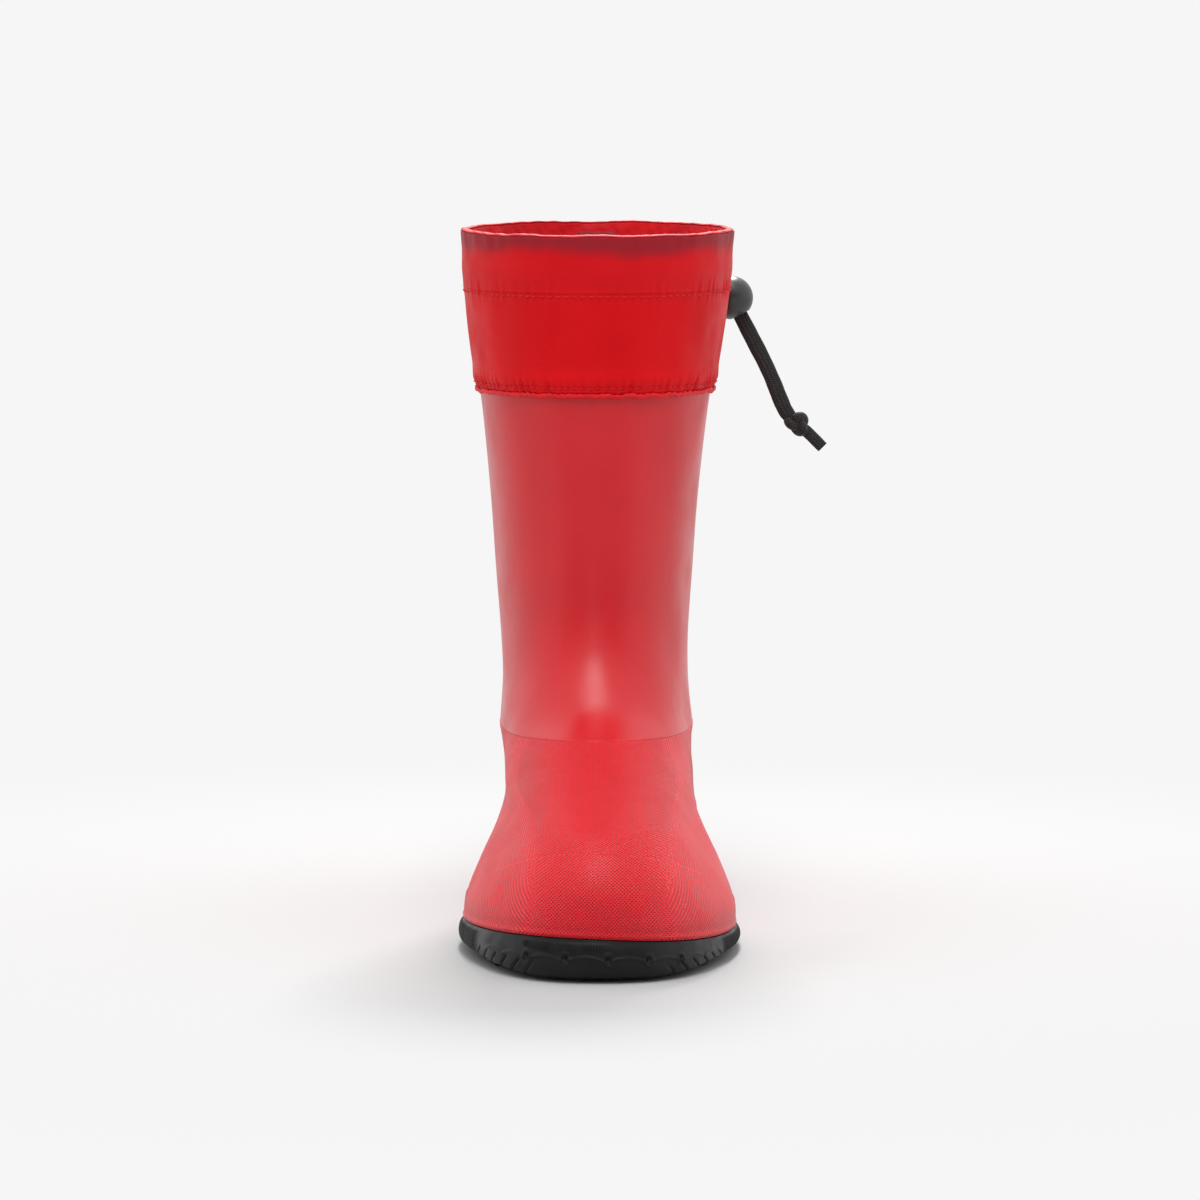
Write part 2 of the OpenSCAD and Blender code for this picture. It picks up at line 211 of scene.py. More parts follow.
def quads(rows, columns, closed_rows, closed_columns, wrap=True):
    """Faces of a grid. Without wrap the last row and column have numbers of their own, as uv needs."""
    m, n = rows + (closed_rows and not wrap), columns + (closed_columns and not wrap)
    index = np.arange(m * n).reshape(m, n)
    if wrap and closed_rows:
        index = np.vstack([index, index[:1]])
    if wrap and closed_columns:
        index = np.hstack([index, index[:, :1]])
    corners = [index[:-1, :-1], index[:-1, 1:], index[1:, 1:], index[1:, :-1]]
    return np.stack(corners, -1).reshape(-1, 4)


def ring_mesh(name, grid, uv=None):
    """Closed band: grid goes up the outside and down the inside, (row, column, xyz)."""
    m, n = grid.shape[:2]
    faces = quads(m, n, True, True)
    corners = None
    if uv is not None:
        uv = np.concatenate([uv, uv[:1]])
        uv = np.concatenate([uv, uv[:, :1] + [[[uv_turn(uv), 0]]]], axis=1)
        corners = uv.reshape(-1, 2)[quads(m, n, True, True, wrap=False)].reshape(-1, 2)
    return mesh(name, grid.reshape(-1, 3), faces, corners)


def uv_turn(uv):
    """How far u has to go on from the last column to the first, for the seam at the back."""
    columns = uv.shape[1]
    return float(np.median(uv[:, -1, 0] - uv[:, 0, 0]) * columns / (columns - 1))


def patch_mesh(name, outside, inside, uv=None):
    """Closed patch between two grids of the same size."""
    m, n = outside.shape[:2]
    grid = np.concatenate([outside, inside[::-1]])
    faces = quads(2 * m, n, True, False).tolist()
    index = np.arange(2 * m * n).reshape(2 * m, n)
    for k, turned in ((0, False), (n - 1, True)):
        for i in range(m - 1):
            face = [index[i, k], index[i + 1, k], index[2 * m - 2 - i, k], index[2 * m - 1 - i, k]]
            faces.append(face[::-1] if turned else face)
    corners = None
    if uv is not None:
        both = np.concatenate([uv, uv[::-1]]).reshape(-1, 2)
        corners = both[np.array(faces)].reshape(-1, 2)
    return mesh(name, grid.reshape(-1, 3), faces, corners)


def stack_mesh(name, rings, extra=()):
    """Closed solid from rings of an even number of points, capped by strips across both ends."""
    m, n = rings.shape[:2]
    faces = quads(m, n, False, True).tolist()
    last = (m - 1) * n
    for k in range(n // 2):
        low = [k, k + 1, n - k - 1, (n - k) % n]
        high = [last + low[0], last + low[3], last + low[2], last + low[1]]
        for f in (low, high):
            faces.append([v for i, v in enumerate(f) if v != f[i - 1]])
    points = [rings.reshape(-1, 3)]
    count = m * n
    for more_points, more_faces in extra:
        points.append(more_points)
        faces += [[v + count for v in f] for f in more_faces]
        count += len(more_points)
    return mesh(name, np.concatenate(points), faces)


def tube(line, width, thick, sides, side_axis, squareness=0.75):
    """Tube with a flat oval section along a line. Its thickness lies near side_axis."""
    forward = unit(np.gradient(line, axis=0))
    v = unit(side_axis - forward * (forward @ side_axis)[:, None])
    h = np.cross(forward, v)
    turn = 2 * np.pi * np.arange(sides) / sides
    across = power(np.cos(turn), squareness)[None, :, None] * h[:, None] * (width / 2)[:, None, None]
    through = power(np.sin(turn), squareness)[None, :, None] * v[:, None] * (thick / 2)[:, None, None]
    return line[:, None] + across + through


def tube_mesh(name, rings, closed=False):
    """Mesh of a tube's rings, with its length and the way round it as uv, in millimetres."""
    m, n = rings.shape[:2]
    faces = quads(m, n, closed, True).tolist()
    along = np.concatenate([[0], np.cumsum(np.linalg.norm(np.diff(rings.mean(1), axis=0), axis=1))])
    rows = m + closed
    along = np.append(along, along[-1] + along[1])[:rows]
    girth = np.linalg.norm(np.diff(rings[m // 2], axis=0), axis=1).sum() * n / (n - 1)
    grid = np.stack(np.meshgrid(girth * np.arange(n + 1) / n, along), -1)
    corners = grid.reshape(-1, 2)[quads(m, n, closed, True, wrap=False)].reshape(-1, 2).tolist()
    if not closed:
        for cap in (list(range(n))[::-1], list(range((m - 1) * n, m * n))):
            faces.append(cap)
            corners += [[0.0, 0.0]] * n
    return mesh(name, rings.reshape(-1, 3), faces, corners)


def piece(name, made, material, body, slot, *nodes):
    o = bpy.data.objects.new(name, made)
    scene.collection.objects.link(o)
    made.materials.append(material)
    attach(o, body)
    if nodes:
        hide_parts(*nodes)
    return o


# ---- materials ----

class Look:
    """A node material, written one node per line."""

    def __init__(self, name, roughness, specular=0.5, **sockets):
        self.material = bpy.data.materials.new(name)
        self.material.use_nodes = True
        self.tree = self.material.node_tree
        self.shader = self.tree.nodes["Principled BSDF"]
        self.shader.inputs["Roughness"].default_value = roughness
        self.shader.inputs["Specular IOR Level"].default_value = specular
        for socket, value in sockets.items():
            self.shader.inputs[socket.replace("_", " ")].default_value = value

    def put(self, socket, value):
        if isinstance(value, bpy.types.NodeSocket):
            self.tree.links.new(value, socket)
        else:
            socket.default_value = value

    def add(self, kind, inputs, out=0, **settings):
        node = self.tree.nodes.new("ShaderNode" + kind)
        for name, value in settings.items():
            setattr(node, name, value)
        for name, value in inputs.items():
            self.put(node.inputs[name], value)
        return node.outputs[out]

    def place(self):
        return self.add("TexCoord", {}, out="Object")

    def uv(self):
        return self.add("UVMap", {}, uv_map="skin")

    def split(self, vector):
        node = self.tree.nodes.new("ShaderNodeSeparateXYZ")
        self.put(node.inputs[0], vector)
        return node.outputs

    def maths(self, operation, a, b=0.0):
        return self.add("Math", {0: a, 1: b}, operation=operation)

    def noise(self, vector, scale, detail=3.0):
        return self.add("TexNoise", {"Vector": vector, "Scale": scale, "Detail": detail})

    def between(self, value, low, high, first=0.0, last=1.0):
        """value from low to high becomes first to last, smoothly."""
        inputs = {"Value": value, "From Min": low, "From Max": high, "To Min": first, "To Max": last}
        return self.add("MapRange", inputs, interpolation_type="SMOOTHSTEP")

    def blend(self, share, a, b):
        return self.add("Mix", {0: share, 6: a, 7: b}, out=2, data_type="RGBA")

    def mix_values(self, share, a, b):
        return self.add("Mix", {0: share, 2: a, 3: b}, out=0, data_type="FLOAT")

    def colour(self, value):
        self.put(self.shader.inputs["Base Color"], value)

    def rough(self, value):
        self.put(self.shader.inputs["Roughness"], value)

    def bump(self, *layers):
        """Each layer is (height from 0 to 1, its depth in millimetres)."""
        below = None
        for height, depth in layers:
            inputs = {"Height": height, "Distance": depth * MM, "Strength": 1.0}
            if below is not None:
                inputs["Normal"] = below
            below = self.add("Bump", inputs)
        self.put(self.shader.inputs["Normal"], below)

    def ridges(self, value, pitch):
        """Rounded ridges across value, which is in millimetres, from 0 to 1."""
        wave = self.maths("SINE", self.maths("MULTIPLY", value, 2 * math.pi / pitch))
        return self.between(wave, -1.0, 1.0)


def rgb(red, green, blue):
    """Linear colour, from the 0 to 255 values that a screen shows."""
    return [((c / 255 + 0.055) / 1.055) ** 2.4 if c > 10 else c / 3295 for c in (red, green, blue)] + [1]


def twill(look):
    """Height of the foot's moulded ridges: crossed on its front and back, one way on its sides."""
    uv = look.split(look.uv())
    place = look.split(look.place())
    way = look.split(look.add("NewGeometry", {}, out="Normal"))
    rising = look.ridges(look.maths("ADD", uv[0], uv[1]), TWILL)
    falling = look.ridges(look.maths("SUBTRACT", uv[0], uv[1]), TWILL)
    crossed = look.maths("MAXIMUM", rising, falling)
    back = look.maths("MULTIPLY", place[1], 0.75)
    side = look.ridges(look.maths("MULTIPLY", look.maths("SUBTRACT", place[2], back), 1 / MM), TWILL * 1.2)
    share = look.between(look.maths("ABSOLUTE", way[0]), 0.62, 0.78)
    return look.mix_values(share, crossed, side)


# Darker red painted into the twill's grooves as shade.
GROOVE_PAINTED_SHADE = rgb(198, 18, 30)


def rubber(name, light, dark, roughness, specular, textured):
    """Moulded satin rubber with a faint bloom and a fine skin, twilled where the mould is, with painted shade
    in the twill's grooves.
    """
    look = Look(name, roughness, specular, Coat_Weight=0.04, Coat_Roughness=0.3)
    place = look.place()
    cloud = look.between(look.noise(place, 28.0, 4.0), 0.35, 0.65)
    base = look.blend(cloud, light, dark)
    fine = look.noise(place, 900.0, 2.0)
    look.rough(look.between(look.noise(place, 60.0, 5.0), 0.3, 0.7, roughness - 0.04, roughness + 0.05))
    peel = look.noise(place, 210.0, 2.0)
    layers = [(peel, 0.05), (fine, 0.012)]
    if textured:
        height = twill(look)
        layers.append((height, 0.5))
        # painted shade: the twill's grooves get the darker red
        base = look.blend(height, GROOVE_PAINTED_SHADE, base)
    look.colour(base)
    look.bump(*layers)
    return look.material


def sole_rubber():
    look = Look("sole_rubber", 0.36, 0.25)
    place = look.place()
    cloud = look.between(look.noise(place, 70.0, 5.0), 0.35, 0.7)
    look.colour(look.blend(cloud, rgb(12, 13, 14), rgb(20, 21, 22)))
    look.rough(look.between(look.noise(place, 160.0, 4.0), 0.3, 0.7, 0.34, 0.5))
    look.bump((look.noise(place, 420.0, 3.0), 0.06), (look.noise(place, 1600.0, 2.0), 0.02))
    return look.material


def coated_cloth(name, light, dark, rim=None):
    """Plain-woven cloth with a thin rubbery coating. rim is the height where it darkens to its edge."""
    look = Look(name, 0.5, 0.09)
    place = look.place()
    uv = look.split(look.uv())
    cloud = look.between(look.noise(place, 22.0, 5.0), 0.35, 0.65)
    base = look.blend(cloud, light, dark)
    if rim:
        height = look.split(place)[2]
        ragged = look.maths("MULTIPLY", look.maths("SUBTRACT", look.noise(place, 35.0, 3.0), 0.5), 0.008)
        edge = look.between(look.maths("ADD", height, ragged), rim - 0.0035, rim + 0.0025)
        base = look.blend(edge, base, rgb(150, 30, 40))
    look.colour(base)
    look.rough(look.between(look.noise(place, 90.0, 4.0), 0.3, 0.7, 0.42, 0.56))
    threads = look.maths("MULTIPLY", look.ridges(uv[0], 0.6), look.ridges(uv[1], 0.6))
    look.bump((look.noise(place, 120.0, 4.0), 0.14), (threads, 0.03))
    return look.material


def binding_cloth(name, light, dark):
    look = Look(name, 0.55, 0.2)
    place = look.place()
    look.colour(look.blend(look.between(look.noise(place, 160.0, 4.0), 0.35, 0.65), light, dark))
    look.bump((look.noise(place, 500.0, 4.0), 0.15))
    return look.material


def thread():
    look = Look("sewing_thread", 0.55, 0.2)
    place = look.place()
    look.colour(look.blend(look.noise(place, 500.0, 2.0), rgb(190, 18, 28), rgb(218, 40, 50)))
    across = look.split(place)
    twist = look.maths("MULTIPLY", look.maths("ADD", across[0], across[2]), 1 / MM)
    look.bump((look.ridges(twist, 0.35), 0.06))
    return look.material


def knit(name, light, dark, pitch):
    """Ribbed jersey: columns of small loops, painted darker between the loops as shade."""
    look = Look(name, 0.85, 0.15, Sheen_Weight=0.25, Sheen_Roughness=0.5)
    place = look.place()
    uv = look.split(look.uv())
    column = look.ridges(uv[0], pitch)
    bent = look.maths("MULTIPLY_ADD", column, 0.4)
    loops = look.ridges(look.maths("ADD", uv[1], bent), pitch)
    height = look.maths("MULTIPLY", column, loops)
    cloud = look.noise(place, 60.0, 4.0)
    relief_painted_shade = look.maths("MULTIPLY", look.maths("ADD", height, cloud), 0.5)
    # painted shade: the knit is darker where its loops dip, mixed with random tone
    look.colour(look.blend(relief_painted_shade, dark, light))
    look.bump((height, 0.3))
    return look.material


def foam(name, light, dark, grain, depth):
    look = Look(name, 0.8, 0.2)
    place = look.place()
    pores = look.add("TexVoronoi", {"Vector": place, "Scale": grain})
    look.colour(look.blend(look.noise(place, 45.0, 5.0), light, dark))
    look.bump((pores, depth))
    return look.material


def braid():
    """Flat woven cord: herringbone ribs that meet along its middle, painted darker in the dips between ribs
    as shade.
    """
    look = Look("black_braid", 0.62, 0.28, Sheen_Weight=0.15, Sheen_Roughness=0.4)
    uv = look.split(look.uv())
    around = look.add("Math", {0: uv[0], 1: 3.4}, operation="PINGPONG")
    slant = look.maths("ADD", uv[1], look.maths("MULTIPLY", around, 0.8))
    ribs = look.ridges(slant, 0.95)
    strands = look.ridges(uv[0], 0.85)
    height = look.maths("MULTIPLY", ribs, strands)
    cloud = look.noise(look.place(), 240.0, 4.0)
    relief_painted_shade = look.maths("MULTIPLY", look.maths("ADD", height, cloud), 0.5)
    # painted shade: the braid is darker where its ribs dip, mixed with random tone
    look.colour(look.blend(relief_painted_shade, rgb(16, 17, 17), rgb(56, 58, 58)))
    look.bump((height, 0.22), (look.noise(look.place(), 1500.0, 2.0), 0.05))
    return look.material


def plastic(name, light, dark, roughness):
    look = Look(name, roughness, 0.5)
    place = look.place()
    look.colour(look.blend(look.noise(place, 120.0, 4.0), light, dark))
    look.rough(look.between(look.noise(place, 300.0, 4.0), 0.3, 0.7, roughness - 0.05, roughness + 0.06))
    look.bump((look.noise(place, 900.0, 3.0), 0.02))
    return look.material


def metal(name, light, dark, roughness):
    look = Look(name, roughness, 0.5, Metallic=1.0)
    place = look.place()
    look.colour(look.blend(look.noise(place, 260.0, 4.0), light, dark))
    look.rough(look.between(look.noise(place, 700.0, 3.0), 0.3, 0.7, roughness - 0.06, roughness + 0.1))
    look.bump((look.noise(place, 1200.0, 2.0), 0.015))
    return look.material


foot_rubber = rubber("foot_rubber", rgb(236, 32, 45), rgb(229, 27, 40), 0.4, 0.34, True)
shaft_rubber = rubber("shaft_rubber", rgb(197, 20, 30), rgb(190, 16, 26), 0.34, 0.4, False)
black_rubber = sole_rubber()
collar_red = coated_cloth("collar_red", rgb(209, 13, 21), rgb(200, 9, 17))
tunnel_red = coated_cloth("tunnel_red", rgb(206, 18, 27), rgb(198, 14, 22), rim=0.2535)
facing_red = coated_cloth("facing_red", rgb(206, 20, 28), rgb(178, 14, 22))
# Red binding cloth lifted to pink: a painted highlight along the collar's folded top edge.
rim_red_painted_highlight = binding_cloth("rim_red_painted_highlight", rgb(206, 60, 68), rgb(190, 38, 48))
hem_red = binding_cloth("hem_red", rgb(214, 24, 34), rgb(200, 16, 28))
tape_red = binding_cloth("tape_red", rgb(150, 20, 28), rgb(128, 16, 22))
red_thread = thread()
lining_knit = knit("lining_knit", rgb(84, 84, 88), rgb(44, 44, 48), 1.1)
black_braid = braid()
black_plastic = plastic("black_plastic", rgb(38, 40, 40), rgb(48, 50, 50), 0.36)
button_plastic = plastic("button_plastic", rgb(32, 33, 34), rgb(42, 43, 44), 0.42)


# ---- camera ----

camera = bpy.data.objects.new("camera", bpy.data.cameras.new("camera"))
scene.collection.objects.link(camera)
camera.location = (0, -2.15, 0.322)
LOOKED_AT = Vector((0.001, 0, 0.1233))
camera.rotation_mode = "QUATERNION"
camera.rotation_quaternion = (LOOKED_AT - camera.location).to_track_quat("-Z", "Y")
camera.data.sensor_width = 36
camera.data.lens = 172.8
camera.data.clip_end = 100
scene.camera = camera


# ---- drawcord ----

def cord_sections():
    """Points down the middle of the cord, and its width and thickness at each."""
    t = np.linspace(0, len(ROUTE) - 1, 240)
    line = spline(ROUTE, t)
    opened = ease(t / 4)
    width = mix(BUNCHED_WIDTH, CORD_WIDTH, opened)
    width = mix(width, TAIL_WIDTH, ease((t - KNOT_AT + 0.4) / 0.8))
    width = width * (1 + 0.02 * np.sin(2.3 * t) + 0.012 * np.sin(7.1 * t))
    thick = mix(BUNCHED_THICK, CORD_THICK, opened)
    pinch = hump(t - KNOT_AT, 0.55)
    return line, mix(width, 4.0, pinch), thick


def knot():
    """Overhand knot: three lobes that pass over and under each other."""
    t = np.linspace(0, 2 * np.pi, 150, endpoint=False)
    flat_x = np.sin(t) + 2 * np.sin(2 * t)
    flat_y = np.cos(t) - 2 * np.cos(2 * t)
    deep = -1.25 * np.sin(3 * t)
    forward = unit(ROUTE[KNOT_AT + 1] - ROUTE[KNOT_AT - 1])
    up = np.cross([0.0, 1.0, 0.0], forward)
    line = 1.25 * flat_x[:, None] * forward + 1.0 * flat_y[:, None] * up
    line = line + deep[:, None] * np.array([0.0, 1.0, 0.0]) + ROUTE[KNOT_AT]
    wide = np.full(len(t), 3.9)
    return tube(line, wide, wide * 0.8, 16, np.array([0.15, 1.0, 0.1]), 0.9)


line, width, thick = cord_sections()
tail = piece("cord_tail", tube_mesh("cord_tail", tube(line, width, thick, 28, np.array([0.0, 1.0, 0.0]))),
             black_braid, "drawcord", "cord_black", "drawcord_tail")
cord_knot = piece("overhand_knot", tube_mesh("overhand_knot", knot(), closed=True),
                  black_braid, "drawcord", "cord_black", "cord_knot")
route_length = float(np.linalg.norm(np.diff(line, axis=0), axis=1).sum()) * MM


# ---- rubber upper ----

def surface_uv(s, a):
    """u runs sideways and v up the middle of the boot's front or back, both in millimetres."""
    dense = np.linspace(0, len(RINGS) - 1, 700)
    front = np.where(np.cos(np.radians(a)) > 0, 0, 180)
    middle = {}
    for side in (0, 180):
        points = outer(dense, side)
        middle[side] = np.concatenate([[0], np.cumsum(np.linalg.norm(np.diff(points, axis=0), axis=1))])
    v = np.where(front == 0, np.interp(s, dense, middle[0]), np.interp(s, dense, middle[180]))
    return np.stack([outer(s, a)[..., 0], v], -1)


def cloth_uv(s, a):
    """u runs round the boot and v up it, both in millimetres."""
    dense = np.linspace(0, len(RINGS) - 1, 700)
    points = outer(dense, 90)
    up = np.concatenate([[0], np.cumsum(np.linalg.norm(np.diff(points, axis=0), axis=1))])
    turn = np.linspace(180, 540, 1441)
    girth = np.linalg.norm(np.diff(outer(S_TUNNEL, turn), axis=0), axis=1)
    around = np.interp(a, turn, np.concatenate([[0], np.cumsum(girth)]))
    return np.stack([around, np.interp(s, dense, up)], -1)


def shell(name, rows, columns, outside, inside, uv, thin=4):
    """Closed band round the boot. outside and inside give the offset of a point from its ring."""
    angles = round_angles(columns)
    s, a = np.meshgrid(rows, angles, indexing="ij")
    few = np.unique(np.append(np.arange(0, len(rows), thin), len(rows) - 1))[::-1]
    s_in, a_in = s[few], a[few]
    grid = np.concatenate([skin(s, a, outside(s, a)), skin(s_in, a_in, inside(s_in, a_in))])
    return ring_mesh(name, grid, np.concatenate([uv(s, a), uv(s_in, a_in)]))


def foot_outside(s, a):
    """The twilled skin ends in a rounded lip at the ankle, and curls in where it meets the sole."""
    edge = away(s, a, S_ANKLE)
    lip = 0.36 * ease(edge / 0.7) * (1 - 0.5 * ease((edge - 1.5) / 6)) - 0.15
    foot = away(s, a, 0)
    welt = 0.35 * hump(foot - 1.6, 0.9) - 0.4 * hump(foot, 0.6)
    return lip + welt


def shaft_outside(s, a):
    """Smooth rubber, a little wavy, with a groove where it leaves the foot."""
    edge = away(s, a, S_ANKLE)
    turn = a / 360
    soft = 0.16 * waves(turn, 3, 9, 5) * np.sin(1.7 * s) + 0.1 * waves(turn + 0.02 * s, 6, 14, 8)
    return -0.08 * (1 - ease(edge / 1.1)) + soft * ease(edge / 12)


def flat_offset(value):
    return lambda s, a: np.full(np.shape(s), value)


foot_rows = np.concatenate([np.linspace(0.02, 0.5, 22), np.linspace(0.53, 7.3, 120)[:-1],
                            np.linspace(7.3, 7.99, 40)])
foot_shape = shell("foot_upper", foot_rows, 440, foot_outside, flat_offset(-RUBBER), surface_uv)
piece("foot_upper", foot_shape, foot_rubber, "boot", "rubber_foot", "foot_shell")
shaft_rows = np.concatenate([np.linspace(8, 8.5, 30), np.linspace(8.52, S_SHAFT_TOP, 120)])
shaft_shape = shell("shaft_upper", shaft_rows, 400, shaft_outside, flat_offset(-RUBBER), cloth_uv)
piece("shaft_upper", shaft_shape, shaft_rubber, "boot", "rubber_shaft", "shaft_shell")


def overlay(name, angles, top, rows, edge_t, full_t, feather, material, slot, node):
    """Thin rubber overlay that rises from a small step at its upper edge to its full thickness."""
    s_top = top(angles)
    share = np.linspace(0, 1, rows)[:, None]
    s = 0.04 + (s_top - 0.04) * share
    a = np.broadcast_to(angles, s.shape)
    edge = np.minimum(away(s, a, s_top), 400)
    ends = np.minimum(a - a.min(), a.max() - a)
    lift = edge_t * ease(edge / 0.5) + (full_t - edge_t) * ease((edge - 0.5) / feather)
    under = foot_outside(s, a)
    top_side = skin(s, a, GAP + lift * ease(ends / 3) + under)
    made = patch_mesh(name, top_side, skin(s, a, under - 0.02), surface_uv(s, a))
    return piece(name, made, material, "boot", slot, node)


overlay("toe_bumper", np.linspace(-84, 84, 300), lambda a: 3.35 * np.cos(np.radians(a)) ** 0.9, 110,
        0.3, 0.62, 12, foot_rubber, "rubber_foot", "toe_cap")
overlay("heel_bumper", np.linspace(112, 248, 240), lambda a: 3.8 * (-np.cos(np.radians(a))) ** 0.6, 90,
        0.35, 0.75, 8, foot_rubber, "rubber_foot", "heel_cap")


def stay():
    """Strip over the shaft's back seam, thin at its edges and rounded at both ends."""
    s, a = np.meshgrid(np.linspace(*S_STAY, 240), np.linspace(170, 190, 40), indexing="ij")
    side = np.minimum(a - 170, 190 - a) / 10
    ends = np.minimum(s - S_STAY[0], S_STAY[1] - s)
    lift = OVERLAY * ease(side / 0.18) * ease(ends / 0.12) * (0.75 + 0.25 * hump(side - 1, 0.5))
    groove = 0.2 * hump(side - 0.3, 0.05)
    top_side = skin(s, a, GAP + 0.2 + lift - groove)
    return patch_mesh("back_strip", top_side, skin(s, a, 0 * s - 0.1), surface_uv(s, a))


piece("back_strip", stay(), shaft_rubber, "boot", "rubber_overlay", "back_stay")

lining_out, lining_in = -RUBBER - GAP, -RUBBER - GAP - LINING
for name, rows, node in (("foot_knit", np.linspace(0.02, 7.99, 90), "foot_lining"),
                         ("shaft_knit", np.linspace(8, S_LINING_TOP, 80), "shaft_lining")):
    made = shell(name, rows, 240, flat_offset(lining_out), flat_offset(lining_in), cloth_uv, thin=1)
    piece(name, made, lining_knit, "boot", "lining_knit", node)


# ---- collar ----

BAND_HEIGHT = float(np.mean(away(S_TUNNEL, round_angles(60), S_HEM)))
TUNNEL_HEIGHT = float(np.mean(away(S_RIM, round_angles(60), S_TUNNEL)))
FACING_HEIGHT = 1.02 * float(np.mean(away(S_RIM, round_angles(60), S_FACING)))
GIRTH = float(np.linalg.norm(np.diff(outer(S_TUNNEL, np.linspace(0, 360, 721)), axis=0), axis=1).sum())


def folds(s, a):
    """Soft vertical folds of the collar, the same for all of its layers."""
    turn = a / 360 + 0.006 * np.sin(2.2 * s)
    return 0.42 * waves(turn, 4, 11, 21) + 0.2 * waves(turn, 12, 24, 22)


def rim_drop(a):
    """Up and down waves of the collar's top edge."""
    return 0.2 * waves(a / 360, 5, 13, 31) + 0.07 * waves(a / 360, 20, 44, 32)


def hem_drop(a):
    """Small scallops of the collar's bottom edge."""
    return 0.32 * waves(a / 360, 14, 40, 44) + 0.16 * waves(a / 360, 90, 130, 45)


def puckers(a, seed, low=48, high=112):
    return waves(a / 360, low, high, seed)


def band_outside(s, a):
    hem = away(s, a, S_HEM)
    seam = away(s, a, S_TUNNEL)
    stitched = away(s, a, S_STITCH)
    full = 0.6 * hump(hem - 5.5, 3.2) - 0.22 * hump(stitched, 0.8) + 0.1 * hump(seam, 0.7)
    creased = 0.42 * puckers(a, 41) * hump(stitched, 3.0) + 0.18 * puckers(a, 42) * hump(seam, 3.4)
    hanging = folds(s, a) * ease(hem / 14) * mix(0.45, 1, ease(seam / 16))
    tucked = -0.5 * hump(hem, 0.8)
    return OUTER + full + creased + hanging + tucked


def tunnel_outside(s, a):
    seam = away(s, a, S_TUNNEL)
    rim = away(s, a, S_RIM)
    full = 0.35 * hump(seam - 7, 4.5) + 0.1 * hump(seam, 0.7)
    creased = 0.18 * puckers(a, 42) * hump(seam, 3.4) + 0.14 * puckers(a, 43, 20, 60) * hump(rim, 5)
    flare = 0.25 * hump(rim, 6)
    return OUTER + full + creased + flare + mix(0.45, 0.55, ease(seam / 8)) * folds(s, a)


def closed_in(s, a):
    """How far the inner layer comes outwards to meet the outer one at the rim."""
    return 1.7 * hump(away(s, a, S_RIM), 8)


def facing_outside(s, a):
    return INNER + closed_in(s, a)


def facing_inside(s, a):
    """The collar's inner layer is loose: it has slanted creases."""
    turn = a / 360
    slanted = 0.2 * waves(turn + 0.05 * (s - 15), 9, 34, 51) + 0.16 * waves(turn - 0.04 * s, 40, 90, 52)
    rim = away(s, a, S_RIM)
    return FACING_IN + closed_in(s, a) - (0.35 + slanted) * ease(rim / 2.5) * ease((s - S_FACING) / 0.2)


def cloth_band(name, rows, columns, outside, inside, drop_from):
    """A layer of the collar, with the waves of the edge that it ends in."""
    angles = round_angles(columns)
    s, a = np.meshgrid(rows, angles, indexing="ij")
    few = np.arange(len(rows) - 1, -1, -3)
    if few[-1]:
        few = np.append(few, 0)
    grid = []
    for part_s, part_a, side in ((s, a, outside), (s[few], a[few], inside)):
        points = skin(part_s, part_a, side(part_s, part_a))
        if drop_from == "rim":
            points[..., 2] += rim_drop(part_a) * hump(away(part_s, part_a, S_RIM), 9)
        elif drop_from == "hem":
            points[..., 2] += hem_drop(part_a) * hump(away(part_s, part_a, S_HEM), 3)
        grid.append(points)
    uv = np.concatenate([cloth_uv(s, a), cloth_uv(s[few], a[few])])
    return ring_mesh(name, np.concatenate(grid), uv)


def follow(outside, thickness):
    """The back face of a cloth whose front face is outside."""
    return lambda s, a: np.maximum(outside(s, a) - thickness, 0.03)


band_rows = np.concatenate([np.linspace(S_HEM, 14.65, 40), np.linspace(14.67, 15.7, 36)[:-1],
                            np.linspace(15.7, S_TUNNEL - 0.01, 16)])
tunnel_rows = np.concatenate([np.linspace(S_TUNNEL - 0.012, 16.25, 16), np.linspace(16.27, S_RIM, 36)])
facing_rows = np.linspace(S_FACING, S_RIM, 80)
band = piece("collar_lower", cloth_band("collar_lower", band_rows, 800, band_outside,
                                        follow(band_outside, FABRIC), "hem"),
             collar_red, "boot", "collar_cloth", "collar_band")
tunnel = piece("collar_upper", cloth_band("collar_upper", tunnel_rows, 840, tunnel_outside,
                                          follow(tunnel_outside, FABRIC), "rim"),
               tunnel_red, "boot", "collar_cloth_top", "collar_tunnel")
facing = piece("collar_inner", cloth_band("collar_inner", facing_rows[::-1], 600, facing_inside,
                                          facing_outside, "rim"),
               facing_red, "boot", "facing_cloth", "collar_facing")


def edge_roll(name, s_at, a, centre, across, along, drop, ripple):
    """Folded strip round an edge: an oval section, pinched a little all the way round."""
    turn = np.linspace(0, 2 * np.pi, 14, endpoint=False)
    n = normal(s_at, a)
    up = unit(outer(s_at + 0.05, a) - outer(s_at - 0.05, a))
    base = outer(s_at, a) + centre * n
    base[:, 2] += drop
    wide = across * (1 + 0.05 * ripple)
    tall = along * (1 + 0.12 * ripple)
    section = (np.cos(turn)[:, None, None] * wide[None, :, None] * n[None]
               + power(np.sin(turn), 0.8)[:, None, None] * tall[None, :, None] * up[None])
    return ring_mesh(name, (base[None] + section)[::-1])


